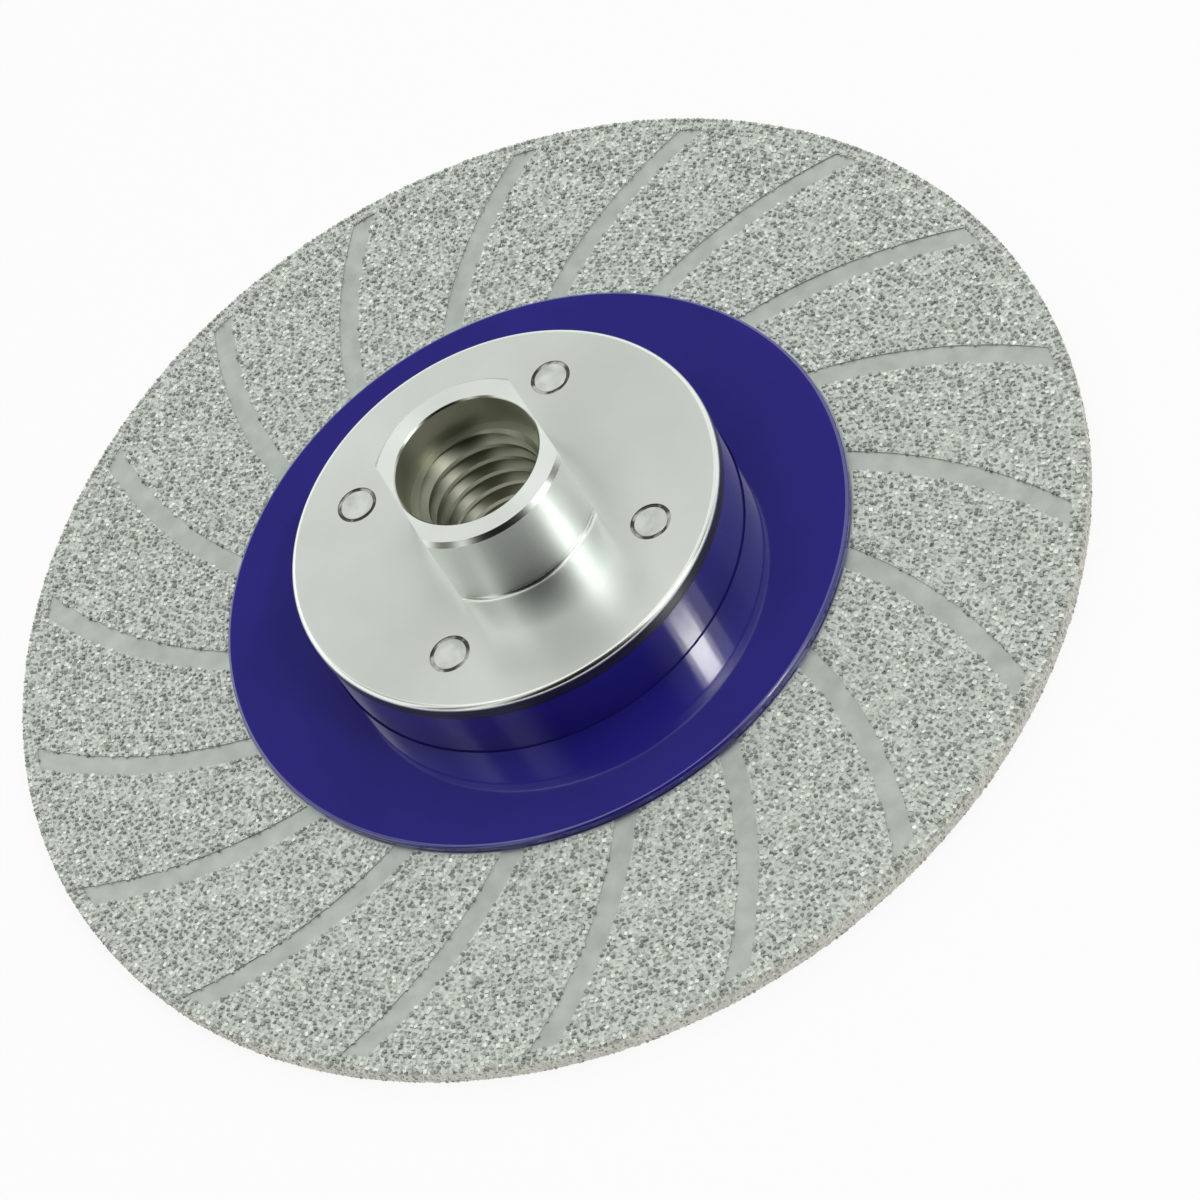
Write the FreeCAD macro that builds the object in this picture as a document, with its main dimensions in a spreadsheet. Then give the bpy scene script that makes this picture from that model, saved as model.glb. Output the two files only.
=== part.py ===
import FreeCAD, Part
import math
import os

import Sketcher

# Double-sided diamond disc for an angle grinder, in millimetres.
# The spindle axis is Z. The back grinding face lies at Z = 0 and the hub points up.
# The two spanner flats face +X and -X.

SIZES = {
    # Steel blank and its plated layer of diamond grit
    "disc_diameter": 125.0,
    "blank_thickness": 1.5,
    "coat_thickness": 0.35,
    # Bare lanes in the grit: each is one arc that trails clockwise towards the rim
    "lane_count": 18,
    "lane_width": 2.5,
    "lane_rim_margin": 1.7,
    "lane_sweep_angle": 15.5,
    "lane_bend_radius": 57.0,
    # Moulded spacer: a flat brim on the blank and a slightly drafted crown under the flange plate
    "brim_diameter": 73.0,
    "brim_thickness": 1.05,
    "brim_edge_round": 0.4,
    "brim_to_coat_gap": 0.15,
    "crown_height": 7.85,
    "crown_setback": 0.1,
    "crown_draft": 0.4,
    # Turned flange: spigot, plate and hub in one piece
    "spigot_diameter": 22.23,
    "spigot_clearance": 0.04,
    "plate_diameter": 49.6,
    "plate_thickness": 2.0,
    "plate_edge_round": 0.6,
    "hub_diameter": 22.0,
    "hub_height": 10.1,
    "hub_edge_chamfer": 0.5,
    "spanner_width": 17.0,
    "counterbore_diameter": 16.4,
    "counterbore_depth": 4.5,
    "counterbore_chamfer": 0.2,
    # 5/8 inch, 11 to the inch: the bore is cut to the thread's major diameter
    "thread_diameter": 15.875,
    "thread_exit_chamfer": 0.8,
    # Solid rivets, flush with the plate and with the back of the blank
    "rivet_count": 4,
    "rivet_start_angle": 45.0,
    "rivet_circle_diameter": 36.0,
    "rivet_shank_diameter": 3.2,
    "rivet_head_diameter": 4.6,
    "rivet_head_height": 0.7,
    "rivet_head_chamfer": 0.2,
    "rivet_tail_diameter": 4.8,
}

RADIUS = " / 2"
FULL_TURN = 360.0
ROUGH_PLACE = 10.0
AXIS_LINE = 5.0
MATCH = 1e-4


def size(name):
    return "Sizes." + name


# Heights up the axis, each built on the one below it
BLANK_BACK = size("coat_thickness")
BLANK_FRONT = BLANK_BACK + " + " + size("blank_thickness")
DISC_TOP = BLANK_FRONT + " + " + size("coat_thickness")
BRIM_TOP = BLANK_FRONT + " + " + size("brim_thickness")
CROWN_TOP = BLANK_FRONT + " + " + size("crown_height")
PLATE_TOP = CROWN_TOP + " + " + size("plate_thickness")
HUB_TOP = PLATE_TOP + " + " + size("hub_height")
COUNTERBORE_FLOOR = HUB_TOP + " - " + size("counterbore_depth")

# Radii that mating pieces share
DISC_RADIUS = size("disc_diameter") + RADIUS
BLANK_RADIUS = DISC_RADIUS + " - " + size("coat_thickness")
SPIGOT_RADIUS = size("spigot_diameter") + RADIUS
CENTRE_HOLE_RADIUS = SPIGOT_RADIUS + " + " + size("spigot_clearance")
BRIM_RADIUS = size("brim_diameter") + RADIUS
COAT_INNER_RADIUS = BRIM_RADIUS + " + " + size("brim_to_coat_gap")
PLATE_RADIUS = size("plate_diameter") + RADIUS
CROWN_RADIUS = PLATE_RADIUS + " - " + size("crown_setback")
CROWN_FOOT_RADIUS = CROWN_RADIUS + " + " + size("crown_draft")
HUB_RADIUS = size("hub_diameter") + RADIUS
COUNTERBORE_RADIUS = size("counterbore_diameter") + RADIUS
THREAD_RADIUS = size("thread_diameter") + RADIUS
LANE_END_RADIUS = DISC_RADIUS + " - " + size("lane_rim_margin")
SHANK_RADIUS = size("rivet_shank_diameter") + RADIUS
HEAD_RADIUS = size("rivet_head_diameter") + RADIUS
TAIL_RADIUS = size("rivet_tail_diameter") + RADIUS
RIVET_CIRCLE_RADIUS = size("rivet_circle_diameter") + RADIUS

# The rivet's cones run at 45 degrees, so each is as high as it is wide
TAIL_CONE_TOP = BLANK_BACK + " + (" + TAIL_RADIUS + ") - (" + SHANK_RADIUS + ")"
HEAD_BOTTOM = PLATE_TOP + " - " + size("rivet_head_height")
HEAD_CONE_BOTTOM = HEAD_BOTTOM + " - ((" + HEAD_RADIUS + ") - (" + SHANK_RADIUS + "))"


def make_sheet(document):
    """Driving dimensions, one cell each, named by its alias."""
    sheet = document.addObject("Spreadsheet::Sheet", "Sizes")
    for row, (name, value) in enumerate(SIZES.items(), start=1):
        sheet.set("A%d" % row, name)
        sheet.set("B%d" % row, str(value))
        sheet.setAlias("B%d" % row, name)
    document.recompute()
    return sheet


def make_body(document, label):
    body = document.addObject("PartDesign::Body", label)
    body.Label = label
    return body


def origin_feature(body, role):
    for feature in body.Origin.OriginFeatures:
        if feature.Role == role:
            return feature
    raise ValueError("no origin feature " + role)


def make_sketch(body, name, plane):
    sketch = body.newObject("Sketcher::SketchObject", body.Label + "_" + name)
    sketch.AttachmentSupport = [(origin_feature(body, plane), "")]
    sketch.MapMode = "FlatFace"
    return sketch


def bind(sketch, name, constraint, expression):
    """Add a named dimension to a sketch and tie it to the sheet."""
    index = sketch.addConstraint(constraint)
    sketch.renameConstraint(index, name)
    sketch.setExpression("Constraints." + name, expression)
    return index


def draw_section(sketch, corners):
    """Closed polygon of (radius, height) expressions, drawn roughly and pulled into place by them.

    A radius of None lies on the turning axis and a height of None on the back grinding face.
    """
    count = len(corners)
    spread = []
    for i in range(count):
        turned = 2 * math.pi * i / count
        spread.append(FreeCAD.Vector(ROUGH_PLACE + math.cos(turned), ROUGH_PLACE + math.sin(turned), 0))
    for i in range(count):
        sketch.addGeometry(Part.LineSegment(spread[i], spread[(i + 1) % count]), False)
    for i in range(count):
        sketch.addConstraint(Sketcher.Constraint("Coincident", i, 2, (i + 1) % count, 1))
    for i, (radius, height) in enumerate(corners):
        if radius is None:
            sketch.addConstraint(Sketcher.Constraint("PointOnObject", i, 1, -2))
        else:
            across = Sketcher.Constraint("DistanceX", -1, 1, i, 1, spread[i].x)
            bind(sketch, "radius_%d" % i, across, radius)
        if height is None:
            sketch.addConstraint(Sketcher.Constraint("PointOnObject", i, 1, -1))
        else:
            up = Sketcher.Constraint("DistanceY", -1, 1, i, 1, spread[i].y)
            bind(sketch, "height_%d" % i, up, height)


def turn(body, name, corners):
    """Solid of revolution about the spindle axis."""
    sketch = make_sketch(body, name + "_section", "XZ_Plane")
    draw_section(sketch, corners)
    feature = body.newObject("PartDesign::Revolution", body.Label + "_" + name)
    feature.Profile = sketch
    feature.ReferenceAxis = (sketch, ["V_Axis"])
    feature.Angle = FULL_TURN
    return feature


def pattern(body, feature, name, count):
    """Repeat a cut evenly about the spindle axis."""
    polar = body.newObject("PartDesign::PolarPattern", body.Label + "_" + name)
    polar.Originals = [feature]
    polar.Axis = (origin_feature(body, "Z_Axis"), [""])
    polar.Angle = FULL_TURN
    polar.setExpression("Occurrences", size(count))
    body.Tip = polar
    return polar


def cut_rivet_seats(body, corners):
    """Turn one rivet seat about its own axis, then repeat it round the rivet circle."""
    sketch = make_sketch(body, "seat_section", "XZ_Plane")
    sketch.AttachmentOffset = FreeCAD.Placement(
        FreeCAD.Vector(), FreeCAD.Rotation(FreeCAD.Vector(0, 1, 0), SIZES["rivet_start_angle"])
    )
    sketch.setExpression("AttachmentOffset.Rotation.Angle", size("rivet_start_angle"))
    draw_section(sketch, corners)
    centre = SIZES["rivet_circle_diameter"] / 2
    foot = FreeCAD.Vector(centre, 0, 0)
    tip = FreeCAD.Vector(centre, AXIS_LINE, 0)
    axis = sketch.addGeometry(Part.LineSegment(foot, tip), True)
    sketch.addConstraint(Sketcher.Constraint("Vertical", axis))
    sketch.addConstraint(Sketcher.Constraint("PointOnObject", axis, 1, -1))
    sketch.addConstraint(Sketcher.Constraint("DistanceY", axis, 1, axis, 2, AXIS_LINE))
    bind(sketch, "centre", Sketcher.Constraint("DistanceX", -1, 1, axis, 1, centre), RIVET_CIRCLE_RADIUS)
    groove = body.newObject("PartDesign::Groove", body.Label + "_seat")
    groove.Profile = sketch
    groove.ReferenceAxis = (sketch, ["Axis0"])
    groove.Angle = FULL_TURN
    return pattern(body, groove, "seats", "rivet_count")


def seat_corners(steps):
    """Section of a rivet seat from (seat radius, height) steps, measured out from the rivet's own axis."""
    corners = [(RIVET_CIRCLE_RADIUS, steps[0][1])]
    for radius, height in steps:
        corners.append((RIVET_CIRCLE_RADIUS + " + (" + radius + ")", height))
    corners.append((RIVET_CIRCLE_RADIUS, steps[-1][1]))
    return corners


def ring_edges(feature, radius, height):
    """Names of the feature's round edges of one radius at one height about the spindle axis."""
    names = []
    for number, edge in enumerate(feature.Shape.Edges, start=1):
        curve = edge.Curve
        if not hasattr(curve, "Radius"):
            continue
        if abs(curve.Radius - radius) < MATCH and abs(curve.Center.z - height) < MATCH:
            names.append("Edge%d" % number)
    return names


def dress_edges(body, kind, name, base, rings, dimension):
    """Fillet or chamfer round edges, given as (radius, height) pairs in numbers."""
    names = []
    for radius, height in rings:
        names += ring_edges(base, radius, height)
    feature = body.newObject("PartDesign::" + kind, body.Label + "_" + name)
    feature.Base = (base, names)
    if kind == "Fillet":
        feature.setExpression("Radius", size(dimension))
    else:
        feature.setExpression("Size", size(dimension))
    return feature


def heights(sheet):
    """The same heights as numbers, read from the sheet, for finding edges."""
    blank_front = sheet.coat_thickness + sheet.blank_thickness
    crown_top = blank_front + sheet.crown_height
    plate_top = crown_top + sheet.plate_thickness
    return {
        "brim_top": blank_front + sheet.brim_thickness,
        "plate_top": plate_top,
        "hub_top": plate_top + sheet.hub_height,
    }


def make_disc_blank(document):
    """Flat steel blank: a centre hole on the spigot and countersunk seats for the rivet tails."""
    body = make_body(document, "disc_blank")
    turn(body, "plate", [
        (CENTRE_HOLE_RADIUS, BLANK_BACK),
        (BLANK_RADIUS, BLANK_BACK),
        (BLANK_RADIUS, BLANK_FRONT),
        (CENTRE_HOLE_RADIUS, BLANK_FRONT),
    ])
    cut_rivet_seats(body, seat_corners([
        (TAIL_RADIUS, BLANK_BACK),
        (SHANK_RADIUS, TAIL_CONE_TOP),
        (SHANK_RADIUS, BLANK_FRONT),
    ]))
    return body


def circle_meet(centre, radius, reach, near):
    """Where a circle about centre meets a circle about the spindle axis, on the side nearest to a point."""
    distance = math.hypot(centre.x, centre.y)
    along = (distance ** 2 + reach ** 2 - radius ** 2) / (2 * distance)
    across = math.sqrt(reach ** 2 - along ** 2)
    unit = FreeCAD.Vector(centre.x / distance, centre.y / distance, 0)
    side = FreeCAD.Vector(-unit.y, unit.x, 0)
    ends = [unit * along + side * across, unit * along - side * across]
    return min(ends, key=lambda point: (point - near).Length)


def arc(centre, start, end):
    """Anticlockwise sketch arc about centre from one point to another."""
    circle = Part.Circle(centre, FreeCAD.Vector(0, 0, 1), (start - centre).Length)
    first = math.atan2(start.y - centre.y, start.x - centre.x)
    last = math.atan2(end.y - centre.y, end.x - centre.x)
    return Part.ArcOfCircle(circle, first, last)


def draw_lane(sketch, sheet):
    """One lane: two edges about a common bend centre, closed by arcs about the spindle axis."""
    inner_reach = sheet.brim_diameter / 2
    outer_reach = sheet.disc_diameter / 2 - sheet.lane_rim_margin
    sweep = math.radians(sheet.lane_sweep_angle)
    bend = sheet.lane_bend_radius
    half_width = sheet.lane_width / 2
    start = FreeCAD.Vector(inner_reach, 0, 0)
    end = FreeCAD.Vector(outer_reach * math.cos(sweep), -outer_reach * math.sin(sweep), 0)
    chord = end - start
    unit = chord / chord.Length
    normal = FreeCAD.Vector(-unit.y, unit.x, 0)
    centre = (start + end) / 2 - normal * math.sqrt(bend ** 2 - (chord.Length / 2) ** 2)
    spindle = FreeCAD.Vector()

    far_end = circle_meet(centre, bend + half_width, outer_reach, end)
    far_start = circle_meet(centre, bend + half_width, inner_reach, start)
    near_end = circle_meet(centre, bend - half_width, outer_reach, end)
    near_start = circle_meet(centre, bend - half_width, inner_reach, start)
    far = sketch.addGeometry(arc(centre, far_end, far_start), False)
    rim = sketch.addGeometry(arc(spindle, near_end, far_end), False)
    near = sketch.addGeometry(arc(centre, near_end, near_start), False)
    mouth = sketch.addGeometry(arc(spindle, near_start, far_start), False)
    middle = sketch.addGeometry(arc(centre, end, start), True)
    spoke = sketch.addGeometry(Part.LineSegment(spindle, end), True)

    # Corners of the outline
    for first, first_end, second, second_end in (
        (rim, 2, far, 1), (rim, 1, near, 1), (mouth, 1, near, 2), (mouth, 2, far, 2)
    ):
        sketch.addConstraint(Sketcher.Constraint("Coincident", first, first_end, second, second_end))
    # Rim and mouth arcs turn about the spindle axis, the three long arcs about the bend centre
    sketch.addConstraint(Sketcher.Constraint("Coincident", rim, 3, -1, 1))
    sketch.addConstraint(Sketcher.Constraint("Coincident", mouth, 3, -1, 1))
    sketch.addConstraint(Sketcher.Constraint("Coincident", near, 3, far, 3))
    sketch.addConstraint(Sketcher.Constraint("Coincident", middle, 3, far, 3))
    # The middle line starts on the X axis at the brim and ends at the rim, on the swept spoke
    sketch.addConstraint(Sketcher.Constraint("PointOnObject", middle, 2, -1))
    sketch.addConstraint(Sketcher.Constraint("PointOnObject", middle, 2, mouth))
    sketch.addConstraint(Sketcher.Constraint("Coincident", spoke, 1, -1, 1))
    sketch.addConstraint(Sketcher.Constraint("Coincident", spoke, 2, middle, 1))
    sketch.addConstraint(Sketcher.Constraint("PointOnObject", spoke, 2, rim))
    # Lane sizes
    bend_radius = size("lane_bend_radius")
    half = size("lane_width") + " / 2"
    far_radius = Sketcher.Constraint("Radius", far, bend + half_width)
    near_radius = Sketcher.Constraint("Radius", near, bend - half_width)
    bind(sketch, "far_edge", far_radius, bend_radius + " + " + half)
    bind(sketch, "near_edge", near_radius, bend_radius + " - " + half)
    bind(sketch, "middle_line", Sketcher.Constraint("Radius", middle, bend), bend_radius)
    bind(sketch, "rim_end", Sketcher.Constraint("Radius", rim, outer_reach), LANE_END_RADIUS)
    bind(sketch, "mouth_end", Sketcher.Constraint("Radius", mouth, inner_reach), BRIM_RADIUS)
    bind(sketch, "sweep", Sketcher.Constraint("Angle", spoke, 1, -1, 1, sweep), size("lane_sweep_angle"))


def make_diamond_coat(document, sheet):
    """Plated grit layer over the front, the rim and the back, with lanes cut through both faces."""
    body = make_body(document, "diamond_coat")
    turn(body, "layer", [
        (COAT_INNER_RADIUS, None),
        (DISC_RADIUS, None),
        (DISC_RADIUS, DISC_TOP),
        (COAT_INNER_RADIUS, DISC_TOP),
        (COAT_INNER_RADIUS, BLANK_FRONT),
        (BLANK_RADIUS, BLANK_FRONT),
        (BLANK_RADIUS, BLANK_BACK),
        (COAT_INNER_RADIUS, BLANK_BACK),
    ])
    sketch = make_sketch(body, "lane_outline", "XY_Plane")
    draw_lane(sketch, sheet)
    lane = body.newObject("PartDesign::Pocket", "diamond_coat_lane")
    lane.Profile = sketch
    lane.Type = "ThroughAll"
    lane.Reversed = True
    pattern(body, lane, "lanes", "lane_count")
    return body


def make_spacer(document, sheet):
    """Hat-shaped moulding that carries the flange plate clear of the disc."""
    body = make_body(document, "spacer")
    hat = turn(body, "hat", [
        (CENTRE_HOLE_RADIUS, BLANK_FRONT),
        (BRIM_RADIUS, BLANK_FRONT),
        (BRIM_RADIUS, BRIM_TOP),
        (CROWN_FOOT_RADIUS, BRIM_TOP),
        (CROWN_RADIUS, CROWN_TOP),
        (CENTRE_HOLE_RADIUS, CROWN_TOP),
    ])
    document.recompute()
    level = heights(sheet)
    rings = [(sheet.brim_diameter / 2, level["brim_top"])]
    dress_edges(body, "Fillet", "brim_round", hat, rings, "brim_edge_round")
    cut_rivet_seats(body, seat_corners([
        (SHANK_RADIUS, BLANK_FRONT),
        (SHANK_RADIUS, CROWN_TOP),
    ]))
    return body


def cut_spanner_flats(body):
    """Two flats on the hub, from the plate up."""
    sketch = make_sketch(body, "flats_outline", "XY_Plane")
    sketch.setExpression("AttachmentOffset.Base.z", PLATE_TOP)
    for side, sign in (("right", 1), ("left", -1)):
        inner = sign * SIZES["spanner_width"] / 2
        outer = sign * SIZES["hub_diameter"]
        reach = SIZES["hub_diameter"]
        corners = [(inner, -reach), (outer, -reach), (outer, reach), (inner, reach)]
        points = [FreeCAD.Vector(x, y, 0) for x, y in corners]
        first = sketch.GeometryCount
        for i in range(4):
            sketch.addGeometry(Part.LineSegment(points[i], points[(i + 1) % 4]), False)
        for i in range(4):
            sketch.addConstraint(Sketcher.Constraint("Coincident", first + i, 2, first + (i + 1) % 4, 1))
        for i in (0, 2):
            sketch.addConstraint(Sketcher.Constraint("Horizontal", first + i))
            sketch.addConstraint(Sketcher.Constraint("Vertical", first + i + 1))
        minus = "" if sign > 0 else "-"
        bind(sketch, side + "_flat", Sketcher.Constraint("DistanceX", -1, 1, first, 1, inner),
             minus + size("spanner_width") + " / 2")
        bind(sketch, side + "_clear", Sketcher.Constraint("DistanceX", -1, 1, first, 2, outer),
             minus + size("hub_diameter"))
        bind(sketch, side + "_low", Sketcher.Constraint("DistanceY", -1, 1, first, 1, -reach),
             "-" + size("hub_diameter"))
        bind(sketch, side + "_high", Sketcher.Constraint("DistanceY", -1, 1, first + 2, 1, reach),
             size("hub_diameter"))
    flats = body.newObject("PartDesign::Pocket", body.Label + "_flats")
    flats.Profile = sketch
    flats.Type = "Length"
    flats.setExpression("Length", size("hub_height"))
    flats.Reversed = True
    return flats


def make_threaded_flange(document, sheet):
    """Spigot, plate and hub turned in one piece, with the spindle thread's bore through it."""
    body = make_body(document, "threaded_flange")
    exit_radius = THREAD_RADIUS + " + " + size("thread_exit_chamfer")
    exit_height = BLANK_BACK + " + " + size("thread_exit_chamfer")
    turned = turn(body, "turning", [
        (exit_radius, BLANK_BACK),
        (SPIGOT_RADIUS, BLANK_BACK),
        (SPIGOT_RADIUS, CROWN_TOP),
        (PLATE_RADIUS, CROWN_TOP),
        (PLATE_RADIUS, PLATE_TOP),
        (HUB_RADIUS, PLATE_TOP),
        (HUB_RADIUS, HUB_TOP),
        (COUNTERBORE_RADIUS, HUB_TOP),
        (COUNTERBORE_RADIUS, COUNTERBORE_FLOOR),
        (THREAD_RADIUS, COUNTERBORE_FLOOR),
        (THREAD_RADIUS, exit_height),
    ])
    document.recompute()
    level = heights(sheet)
    plate_rim = [(sheet.plate_diameter / 2, level["plate_top"])]
    rounded = dress_edges(body, "Fillet", "plate_round", turned, plate_rim, "plate_edge_round")
    document.recompute()
    hub_rim = [(sheet.hub_diameter / 2, level["hub_top"])]
    chamfered = dress_edges(body, "Chamfer", "hub_chamfer", rounded, hub_rim, "hub_edge_chamfer")
    document.recompute()
    mouth = [(sheet.counterbore_diameter / 2, level["hub_top"])]
    dress_edges(body, "Chamfer", "mouth_chamfer", chamfered, mouth, "counterbore_chamfer")
    cut_spanner_flats(body)
    cut_rivet_seats(body, seat_corners([
        (SHANK_RADIUS, CROWN_TOP),
        (SHANK_RADIUS, HEAD_CONE_BOTTOM),
        (HEAD_RADIUS, HEAD_BOTTOM),
        (HEAD_RADIUS, PLATE_TOP),
    ]))
    return body


def make_rivet(document, number):
    """Solid rivet: swaged flush in the plate's seat and in the countersink at the back of the blank."""
    body = make_body(document, "rivet_%d" % (number + 1))
    chamfer = size("rivet_head_chamfer")
    turn(body, "rivet", [
        (None, BLANK_BACK),
        (TAIL_RADIUS, BLANK_BACK),
        (SHANK_RADIUS, TAIL_CONE_TOP),
        (SHANK_RADIUS, HEAD_CONE_BOTTOM),
        (HEAD_RADIUS, HEAD_BOTTOM),
        (HEAD_RADIUS, PLATE_TOP + " - " + chamfer),
        (HEAD_RADIUS + " - " + chamfer, PLATE_TOP),
        (None, PLATE_TOP),
    ])
    angle = "(%s + %d * %g / %s)" % (size("rivet_start_angle"), number, FULL_TURN, size("rivet_count"))
    body.setExpression("Placement.Base.x", RIVET_CIRCLE_RADIUS + " * cos(" + angle + ")")
    body.setExpression("Placement.Base.y", RIVET_CIRCLE_RADIUS + " * sin(" + angle + ")")
    return body


def check_document(document, bodies):
    """Stop if an object failed, or a piece isn't one valid solid."""
    for thing in document.Objects:
        if "Invalid" in thing.State or "Error" in thing.State:
            raise RuntimeError(thing.Label + " failed: " + str(thing.State))
    for body in bodies:
        shape = body.Shape
        if shape.isNull() or not shape.isValid() or len(shape.Solids) != 1:
            raise RuntimeError(body.Label + " isn't one valid solid")


def main():
    document = FreeCAD.newDocument("diamond_disc")
    sheet = make_sheet(document)
    bodies = [
        make_disc_blank(document),
        make_diamond_coat(document, sheet),
        make_spacer(document, sheet),
        make_threaded_flange(document, sheet),
    ]
    for number in range(int(sheet.rivet_count)):
        bodies.append(make_rivet(document, number))
    document.recompute()
    check_document(document, bodies)
    os.makedirs("parts", exist_ok=True)
    for body in bodies:
        body.Shape.exportStep("parts/" + body.Label + ".step")
        print("%s %.3f mm3 %s" % (body.Label, body.Shape.Volume, body.Shape.BoundBox))


main()
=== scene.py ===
from collections import namedtuple
import math
import random

import bmesh
import bpy
from mathutils import Matrix, Vector


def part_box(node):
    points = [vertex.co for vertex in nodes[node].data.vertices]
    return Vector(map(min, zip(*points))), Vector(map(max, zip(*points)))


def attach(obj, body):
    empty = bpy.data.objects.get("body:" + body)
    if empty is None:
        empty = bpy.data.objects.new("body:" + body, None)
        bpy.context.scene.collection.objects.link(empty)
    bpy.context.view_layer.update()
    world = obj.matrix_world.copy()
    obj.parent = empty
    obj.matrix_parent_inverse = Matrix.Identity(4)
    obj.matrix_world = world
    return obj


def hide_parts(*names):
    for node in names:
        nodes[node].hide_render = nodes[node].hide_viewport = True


MM = 0.001
FULL_TURN = 2 * math.pi

# Photograph's viewing angle, with the spindle axis as Z and the camera on the -Y side. The view is
# about 4 % wider than the photograph's, so that the whole disc fits.
PHOTO_WIDTH_PX = 1200
FOCAL_PX = 3917.0
SENSOR_WIDTH = 36.0
CAMERA_DISTANCE = 430.0 * MM
CAMERA_TILT = math.radians(41.185)
CAMERA_ROLL = math.radians(33.384)
CAMERA_YAW = -0.0171348
CAMERA_PITCH = 0.0098628
CLIP_NEAR = 0.01
CLIP_FAR = 20.0

# Pale floor and its glow, which the camera, mirrors and glass see
FLOOR_HALF_SIZE = 3.0
FLOOR_GREY = 0.86
FLOOR_GLOW_SHARE = 0.9

# Sky of the tent, whose patches multiply each other. Angles are in degrees: the direction of a patch,
# the radius of its even middle and that of its faded edge. Without an elevation it is a column at
# all heights. Strengths are outside the patch and in its middle.
Patch = namedtuple("Patch", "azimuth elevation even faded outside middle")
SKY_PATCHES = (
    Patch(azimuth=122, elevation=51, even=14, faded=54, outside=1.02, middle=1.36),
    Patch(azimuth=261, elevation=None, even=26, faded=45, outside=1.0, middle=0.0),
    Patch(azimuth=90, elevation=49, even=6, faded=11, outside=1.0, middle=0.06),
    Patch(azimuth=198, elevation=None, even=4, faded=13, outside=1.0, middle=0.3),
    Patch(azimuth=203, elevation=30, even=5, faded=13, outside=1.0, middle=0.3),
    Patch(azimuth=351, elevation=None, even=4, faded=12, outside=1.0, middle=0.7),
    Patch(azimuth=339, elevation=30, even=5, faded=13, outside=1.0, middle=0.12),
    Patch(azimuth=150, elevation=49, even=7, faded=22, outside=1.0, middle=0.35),
    Patch(azimuth=28, elevation=49, even=8, faded=24, outside=1.0, middle=0.9),
)

# Sky's tone where it is dark and where it is bright, and the strengths between which it changes
SKY_TONE_RANGE = (0.0, 0.6)
SKY_TONES = ((1.0, 0.98, 0.72), (0.98, 1.0, 0.975))

# Bright window of a strip lamp in layers of growing width, so that its sides fade, and the lamp's
# dimmer lower part. Angles are in degrees, and radiance is how many times brighter than white.
LAMP_DISTANCE = 1.2
LAMP_LAYER = 0.01
LampPart = namedtuple("LampPart", "azimuth elevation width height radiance")
LAMP_PARTS = (
    LampPart(azimuth=317.5, elevation=50.35, width=0.15, height=0.04, radiance=46.0),
    LampPart(azimuth=317.5, elevation=50.35, width=0.24, height=0.04, radiance=14.0),
    LampPart(azimuth=321.5, elevation=50.3, width=0.38, height=0.10, radiance=3.4),
    LampPart(azimuth=323.0, elevation=30.0, width=0.24, height=0.56, radiance=1.0),
)

# Lathe work: steps round a full turn and round an edge, how near points are welded, and the angle
# and slopes at which shading and finish change
FINE_STEPS = 256
PLAIN_STEPS = 192
RIVET_STEPS = 64
ROUND_STEPS = 6
PLATE_ROUND_STEPS = 7
WELD = 1e-7
THREAD_WELD = 1e-8
RING_SLACK = 1e-6
SHARP_ANGLE = math.radians(28)
RIM_FACE_SLOPE = 0.97
SIDE_FACE_SLOPE = 0.1

# Colour sockets of the Mix node, whose names are the same as those of its number sockets
MIX_COLOUR_A = 6
MIX_COLOUR_B = 7
MIX_COLOUR_RESULT = 2

# Finishes: dark and light tone of each, and the values of a pattern between which it runs from one
# to the other
TURNED_TONES = ((0.78, 0.815, 0.78), (0.83, 0.86, 0.83))
# Painted shade: tint that darkens the steel inside the counterbore and the bore
BORE_PAINTED_SHADE_TINT = (0.50, 0.49, 0.40)
# Painted shade: dark tones of the plate's side wall
SIDE_PAINTED_SHADE_TONES = ((0.14, 0.14, 0.11), (0.24, 0.24, 0.20))
# Painted shade in the grooves of the rivet rings, patchy
RING_PAINTED_SHADE_TONES = ((0.05, 0.05, 0.045), (0.55, 0.57, 0.53))
RIVET_TONES = ((0.52, 0.545, 0.52), (0.70, 0.73, 0.70))
SATIN_TONES = ((0.41, 0.438, 0.41), (0.518, 0.549, 0.518))
BLUE_TONES = ((0.0215, 0.016, 0.225), (0.0265, 0.0195, 0.26))
NICKEL_TONES = ((0.46, 0.488, 0.46), (0.72, 0.755, 0.71))
DIAMOND_TONES = ((0.25, 0.265, 0.246), (0.92, 0.96, 0.9))
CLOUD_EDGES = (0.3, 0.7)
# Next: edges of the patchy painted shade in the rivet rings
RING_PAINTED_SHADE_EDGES = (0.45, 0.62)
BLOTCH_EDGES = (0.35, 0.65)
WHOLE_RANGE = (0.0, 1.0)
GROOVE_ROUGHNESS = 0.006
QUARTER_TURN = 0.25
SIDE_MARK_STRETCH = (80, 80, 3000)

# Diamond layer. A crystal's widths, heights and sizes are shares of the full size, its jitter is a
# share of the spacing, and a negative gap lets crystals reach over the edge of a lane.
LANES = 18
LANE_PITCH = FULL_TURN / LANES
LANE_HALF_WIDTH = 1.25 * MM
LANE_SWEEP = math.radians(15.5)
LANE_BEND_RADIUS = 57.0 * MM
LANE_RIM_MARGIN = 1.7 * MM
GRAIN_SPACING = 0.62 * MM
GRAIN_RADIUS = 0.36 * MM
GRAIN_STAND = 0.24 * MM
GRAIN_SINK = 0.05 * MM
GRAIN_WIDTHS = (0.8, 1.1)
GRAIN_HEIGHTS = (0.7, 1.0)
GRAIN_SIZES = (0.8, 1.0)
GRAIN_JITTER = 0.3
GRAIN_ROW_JITTER = 0.15 * MM
GRAIN_ROW_STEP = 0.9 * GRAIN_SPACING
LANE_EDGE_GAP = -0.06 * MM
RIM_GRAIN_RADIUS = 0.3 * MM
RIM_ROWS = 4
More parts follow.
